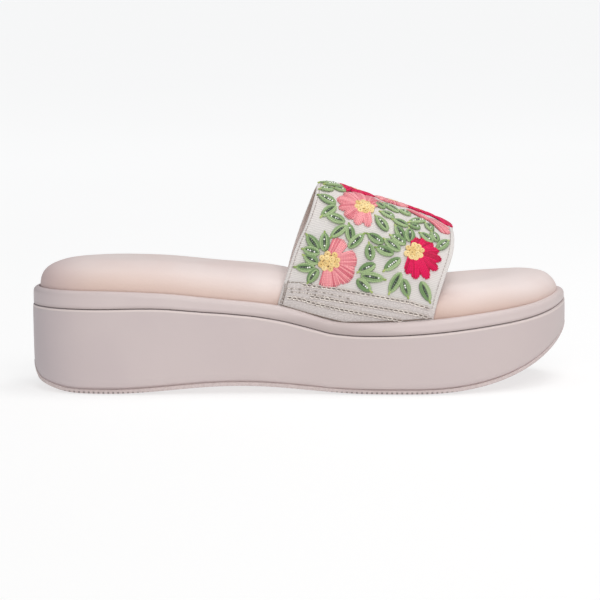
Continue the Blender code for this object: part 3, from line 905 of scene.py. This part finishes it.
class Needle:
    """Works the embroidery: petals, knots, leaves, beads and the rows of the hem."""

    def __init__(self, cloth):
        self.cloth = cloth
        self.random = random.Random(5)
        self.threads = {
            "pink": Threads("petals_pink", sides=6),
            "crimson": Threads("petals_crimson", sides=6),
            "yellow": Threads("knots_yellow", sides=6),
            "leaf": Threads("leaves_green", sides=6),
            "leaf_shade_strand": Threads("leaves_shade_strand"),
            "leaf_tip": Threads("leaf_tips"),
            "metal": Threads("hem_metal_thread"),
            "dark": Threads("hem_dark_thread"),
            "edge": Threads("edge_stitches"),
            "foot": Threads("band_foot_shade_cord"),
        }
        self.beads = []

    def frame_at(self, normal, direction):
        """Two directions on the cloth: the given one laid flat on it, and one across it."""
        ahead = direction - normal * direction.dot(normal)
        ahead.normalize()
        return ahead, normal.cross(ahead)

    def lay(self, thread, line, radius, lift, shade, ends=0.35):
        """Lay a strand along points near the cloth, with a height above it for each point."""
        path, normals = [], []
        for point, height in zip(line, lift):
            place, normal = self.cloth.settle(Vector(point))
            path.append(place + normal * (HOVER + height))
            normals.append(normal)
        self.threads[thread].strand(path, normals, radius, shade, ends)

    def petal(self, place, up, right, turn, reach, half_width, start, colour):
        """One petal: satin stitches side by side, nearly parallel, with a blunt round end."""
        turn = math.radians(turn)
        out = up * math.cos(turn) + right * math.sin(turn)
        across = right * math.cos(turn) - up * math.sin(turn)
        count = max(3, round(2 * half_width / STITCH_SPACING))
        order = list(range(count))
        self.random.shuffle(order)
        for i in order:
            side = (2 * i + 1) / count - 1
            rounding = SLIM_ROUNDING if half_width < SLIM_PETAL else PETAL_ROUNDING
            length = reach * (1 - rounding * abs(side) ** 2.4) * self.random.uniform(0.990, 1.010)
            first = place + out * start + across * side * min(half_width, start * 0.85)
            last = place + out * length + across * side * (half_width - FLOSS * 0.6)
            line = [first.lerp(last, share) for share in shares(PETAL_STEPS)]
            hump = PETAL_HUMP * (1 - 0.35 * side * side) * self.random.uniform(0.9, 1.15)
            lift = [hump * math.sin(math.pi * (0.10 + 0.86 * share)) for share in shares(PETAL_STEPS)]
            shade = self.random.uniform(0.12, 0.92)
            self.lay(colour, line, FLOSS * self.random.uniform(0.96, 1.10), lift, shade, 0.62)

    def knot(self, place, size, lift):
        """French knot: floss wound nearly twice and drawn down in the middle."""
        place, normal = self.cloth.settle(place)
        ahead, side = self.frame_at(normal, Vector((1, self.random.uniform(-0.5, 0.5), 0.2)))
        begin = self.random.uniform(0, TURN)
        path = []
        for share in shares(KNOT_STEPS):
            angle = begin + KNOT_TURNS * TURN * share
            spread = size * (1.0 - 0.92 * share ** 1.6)
            height = lift + KNOT_FLOSS * (0.25 + 1.15 * share)
            outward = ahead * math.cos(angle) + side * math.sin(angle)
            path.append(place + outward * spread + normal * height)
        self.threads["yellow"].strand(path, [normal] * KNOT_STEPS, KNOT_FLOSS, self.random.random(), 0.6)

    def knot_cluster(self, place, up, right, radius, heap):
        """Knots packed over the flower's middle: a ring, and a few heaped inside it."""
        for count, spread, lift, begin in (
                # how many, share of the radius, height, angle of the first
                (8, 0.88, 0.0003, 0.2), (4, 0.42, 0.0007, 0.7), (1, 0.0, 0.0008, 0.0)):
            for i in range(count):
                angle = begin + TURN * i / count + self.random.uniform(-0.14, 0.14)
                reach = radius * spread * self.random.uniform(0.9, 1.08)
                where = place + (right * math.cos(angle) + up * math.sin(angle)) * reach
                self.knot(where, KNOT_RADIUS * self.random.uniform(0.9, 1.15), lift * heap)

    def flower(self, place, kind, knots, colour, heap):
        """Petals around a place, and the knots in their middle."""
        place, normal = self.cloth.settle(place)
        right, up = self.frame_at(normal, Vector((1, 0, 0)))
        if place.y > INNER_FROM:
            up = -up
        for turn, reach, half_width in PETALS[kind]:
            start = max(knots * MM * 0.7, PETAL_START)
            self.petal(place, up, right, turn, reach * MM, half_width * MM, start, colour)
        if knots:
            self.knot_cluster(place, up, right, knots * MM, heap)

    def leaf(self, base, tip, width):
        """Two loops of floss around a rib of dark floss that stands in for the shade under the beads, with
        beads sewn along the middle.
        """
        base = self.cloth.settle(base)[0]
        tip = self.cloth.settle(tip)[0]
        normal = self.cloth.settle((base + tip) / 2)[1]
        ahead, side = self.frame_at(normal, tip - base)
        length = (tip - base).length
        for thread, spread, lift, radius, reach in (
                # share of the width, height, radius, share of the length
                ("leaf", 0.40, 0.00030, LEAF_FLOSS, 1.00),
                ("leaf", 0.235, 0.00042, LEAF_FLOSS * 0.88, 0.90),
                # The dark strand is painted shade under the row of beads.
                ("leaf_shade_strand", 0.09, 0.00020, LEAF_FLOSS * 0.8, 0.78)):
            for hand in (-1, 1):
                line, lifts = [], []
                for share in shares(LEAF_STEPS):
                    bulge = math.sin(math.pi * share ** 0.9) ** 0.75
                    inset = (1 - reach) / 2
                    line.append(base.lerp(tip, inset + reach * share) + side * hand * bulge * width * spread)
                    lifts.append(lift + 0.00035 * math.sin(math.pi * share))
                shade = self.random.random() * 0.7 + (0.3 if hand > 0 else 0)
                self.lay(thread, line, radius * self.random.uniform(0.92, 1.06), lifts, shade, 0.45)
        catch = [tip + ahead * (step * 0.0004 - 0.0012) for step in range(TIP_STEPS)]
        lifts = [0.0005 * (1 - share) for share in shares(TIP_STEPS)]
        self.lay("leaf_tip", catch, LEAF_FLOSS * 0.85, lifts, self.random.random())
        count = max(3, int(length * BEAD_ROW / BEAD_PITCH))
        for i in range(count):
            share = 0.5 + (i - (count - 1) / 2) * BEAD_PITCH / length
            share += self.random.uniform(-0.01, 0.01)
            place, normal = self.cloth.settle(base.lerp(tip, share))
            shift = side * self.random.uniform(-0.00012, 0.00012)
            self.beads.append((place + normal * BEAD_HEIGHT + shift, ahead.copy(), normal.copy()))

    def chain(self, points, pitch, width, radius):
        """Chain stitch along a line: small open loops, each caught by the next."""
        line = resample(points, pitch)
        for i in range(len(line) - 1):
            start, end = Vector(line[i]), Vector(line[i + 1])
            place, normal = self.cloth.settle((start + end) / 2)
            ahead, side = self.frame_at(normal, end - start)
            reach = (end - start).length * 1.12
            path, lifts = [], []
            for done in shares(LINK_STEPS):
                angle = math.pi + TURN * (0.04 + 0.92 * done)
                forward = ahead * math.cos(angle) * reach / 2
                path.append(place + forward + side * math.sin(angle) * width / 2)
                rise = 0.6 + 0.8 * math.cos(angle / 2) ** 2
                lifts.append(radius * rise + self.random.uniform(0, 0.00006))
            self.lay("metal", path, radius, lifts, self.random.random(), 0.7)

    def running(self, thread, points, pitch, radius, share=0.72):
        """Running stitch: short strands with gaps."""
        line = resample(points, pitch)
        for i in range(len(line) - 1):
            start, end = Vector(line[i]), Vector(line[i + 1])
            gap = (1 - share) / 2
            path, lifts = [], []
            for done in shares(STITCH_STEPS):
                path.append(start.lerp(end, gap + share * done))
                lifts.append(radius * 1.3 * math.sin(math.pi * done) - HOVER * 0.6)
            self.lay(thread, path, radius, lifts, self.random.random(), 0.6)

    def string_beads(self, material):
        """All beads as copies of one faceted bead, joined."""
        deselect()
        bpy.ops.mesh.primitive_uv_sphere_add(segments=8, ring_count=6, radius=BEAD)
        model = bpy.context.active_object
        bpy.ops.object.mode_set(mode="EDIT")
        bpy.ops.mesh.select_all(action="SELECT")
        bpy.ops.transform.resize(value=(1.0, 1.0, 0.92))
        bpy.ops.object.mode_set(mode="OBJECT")
        shape = np.array([vertex.co[:] for vertex in model.data.vertices])
        corners = [tuple(face.vertices) for face in model.data.polygons]
        bpy.data.objects.remove(model)
        points, faces, shades = [], [], []
        for place, ahead, normal in self.beads:
            across = normal.cross(ahead).normalized()
            axes = np.array([normal[:], across[:], ahead[:]])
            start = len(points)
            points.extend(shape @ axes + np.array(place))
            faces.extend(tuple(start + corner for corner in face) for face in corners)
            shades.extend([self.random.random()] * len(shape))
        piece = new_piece("leaf_beads", points, faces)
        store(piece, "shade", shades)
        finish_piece(piece, "band_fabric", material)
        smooth(piece, 30)


def work_flowers(needle):
    """Flowers and leaves: where the photo shows them, and answering ones on the inner side."""
    cloth = needle.cloth
    other = {"pink": "crimson", "crimson": "pink"}
    top = []
    for x, y, kind, knots, colour in SEEN_FLOWERS:
        place = cloth.seen(x, y)
        needle.flower(place, kind, knots, colour, FULL_HEAP)
        if place.z < INNER_BELOW:
            needle.flower(cloth.opposite(place), kind, knots, other[colour], FULL_HEAP)
    for along, degrees, kind, knots, colour in TOP_FLOWERS:
        place = cloth.around(along, degrees)
        needle.flower(place, kind, knots, colour, TOP_HEAP)
        top.append(place)
    for base_x, base_y, tip_x, tip_y, width in SEEN_LEAVES:
        base, tip = cloth.seen(base_x, base_y), cloth.seen(tip_x, tip_y)
        needle.leaf(base, tip, width * LEAF_FULLNESS * MM)
        like_base, like_tip = cloth.opposite(base), cloth.opposite(tip)
        middle = (like_base + like_tip) / 2
        if min((middle - place).length for place in top) > TOP_CLEARANCE:
            needle.leaf(like_base, like_tip, width * LEAF_FULLNESS * MM)


def work_hem(needle):
    """Rows of metal thread over the hem of both sides, the stitches of the turned edges, and a dark cord of
    painted shade along the band's foot.
    """
    cloth = needle.cloth
    for kind, *spots in HEM_ROWS:
        line = [cloth.seen(x, y) for x, y in spots]
        for way in (line, [cloth.opposite(place) for place in line]):
            if kind == "braid":
                needle.chain(way, HEM_LINK, HEM_LINK_WIDTH, HEM_FLOSS)
                needle.running("dark", way, HEM_LINK, HEM_FLOSS * 0.8, share=0.45)
            elif kind == "dots":
                needle.running("metal", way, HEM_LINK * 0.55, HEM_FLOSS, share=0.6)
                needle.running("dark", way, HEM_LINK * 1.6, HEM_FLOSS * 1.2, share=0.22)
            else:
                needle.running("dark", way, HEM_LINK * 0.8, HEM_FLOSS * 0.9, share=0.85)
    for towards in (-1, 1):
        line = [cloth.edge(degrees, EDGE_SEAM_INSET, towards) for degrees in EDGE_DEGREES]
        needle.running("edge", line, EDGE_STITCH, HEM_FLOSS * 0.8)
    # Painted shade: a dark cord along the band's foot on both sides, where it meets the rim.
    foot = resample([cloth.seen(x, y) for x, y in FOOT_LINE], FOOT_STEP)
    for line in (foot, [cloth.opposite(Vector(place)) for place in foot]):
        needle.lay("foot", line, HEM_FLOSS * 1.2, [0.0] * len(line), 0.5)


def build_embroidery(band):
    """Work the embroidery, and give each thread its material."""
    needle = Needle(Cloth(band))
    work_flowers(needle)
    work_hem(needle)
    materials = {
        "pink": floss("pink floss", tone(249, 170, 174), tone(214, 108, 122)),
        "crimson": floss("crimson floss", tone(234, 5, 92), tone(188, 0, 64), sheen=0.08),
        "yellow": floss("yellow floss", tone(250, 224, 164), tone(232, 198, 130)),
        "leaf": floss("leaf floss", tone(169, 191, 141), tone(114, 145, 95)),
        "leaf_shade_strand": floss("leaf shade floss", tone(92, 122, 82), tone(52, 76, 50)),
        "leaf_tip": floss("leaf tip floss", tone(186, 202, 122), tone(140, 166, 88)),
        "metal": metal_thread(
            "pale metal thread", tone(226, 216, 210), tone(255, 248, 240), tone(166, 152, 140)),
        "dark": metal_thread(
            "dull metal thread", tone(146, 133, 125), tone(174, 162, 152), tone(116, 104, 98)),
        "edge": floss("edge cotton", tone(196, 186, 182), tone(176, 164, 160)),
        "foot": floss("foot shade cord", tone(150, 132, 122), tone(126, 110, 100)),
    }
    for thread, material in materials.items():
        needle.threads[thread].build(material)
    needle.string_beads(cut_glass("smoky cut glass"))


def build_camera():
    data = bpy.data.cameras.new("camera")
    camera = new_object("camera", data)
    turn = Matrix((CAMERA_RIGHT, CAMERA_UP, TO_CAMERA)).transposed()
    camera.matrix_world = Matrix.Translation(CAMERA_PLACE) @ turn.to_4x4()
    data.sensor_fit = "HORIZONTAL"
    data.sensor_width = SENSOR
    data.lens = PIXELS_PER_METRE * CAMERA_DISTANCE / PHOTO_SIZE * SENSOR
    data.shift_x = (PHOTO_SIZE / 2 - PHOTO_CENTRE[0]) / PHOTO_SIZE
    data.shift_y = (PHOTO_CENTRE[1] - PHOTO_SIZE / 2) / PHOTO_SIZE
    data.clip_start = 0.01
    data.clip_end = 100
    bpy.context.scene.camera = camera


def build_light(name, place, aim, size, power, colour):
    data = bpy.data.lights.new(name, "AREA")
    data.shape = "RECTANGLE"
    data.size, data.size_y = size
    data.energy = power
    data.color = colour
    light = new_object(name, data)
    light.location = place
    light.rotation_euler = (Vector(place) - Vector(aim)).to_track_quat("Z", "Y").to_euler()


def build_studio():
    deselect()
    bpy.ops.mesh.primitive_circle_add(vertices=96, radius=40, fill_type="NGON", location=(0, 0, -0.0002))
    floor = bpy.context.active_object
    floor.name = "studio_floor"
    floor.data.transform(floor.matrix_world)
    floor.matrix_world = Matrix.Identity(4)
    floor.data.materials.append(pale_floor("pale floor"))
    world = bpy.data.worlds.new("studio air")
    world.use_nodes = True
    air = world.node_tree.nodes["Background"].inputs
    air["Color"].default_value = (0.92, 0.965, 1, 1)
    air["Strength"].default_value = 0.34
    bpy.context.scene.world = world
    middle = (0, 0, 0.04)
    build_light("key", (0.30, -1.15, 1.05), middle, (0.9, 0.6), 7.4, (1.0, 0.97, 0.94))
    build_light("front", (0.10, -1.6, 0.70), middle, (1.4, 0.8), 4.8, (1.0, 0.98, 0.96))
    build_light("toe", (0.26, -0.02, 0.85), (0.11, 0, 0.05), (0.5, 0.4), 2.0, (1.0, 0.985, 0.97))
    build_light("top", (0.10, 0.25, 1.30), middle, (1.2, 0.8), 3.0, (1.0, 0.985, 0.97))
    bpy.context.scene.view_settings.view_transform = "Standard"
    bpy.context.scene.view_settings.look = "None"


build_camera()
build_sole()
build_pad()
build_embroidery(build_band())
build_studio()


def plain(box):
    return [[float(value) for value in corner] for corner in box]
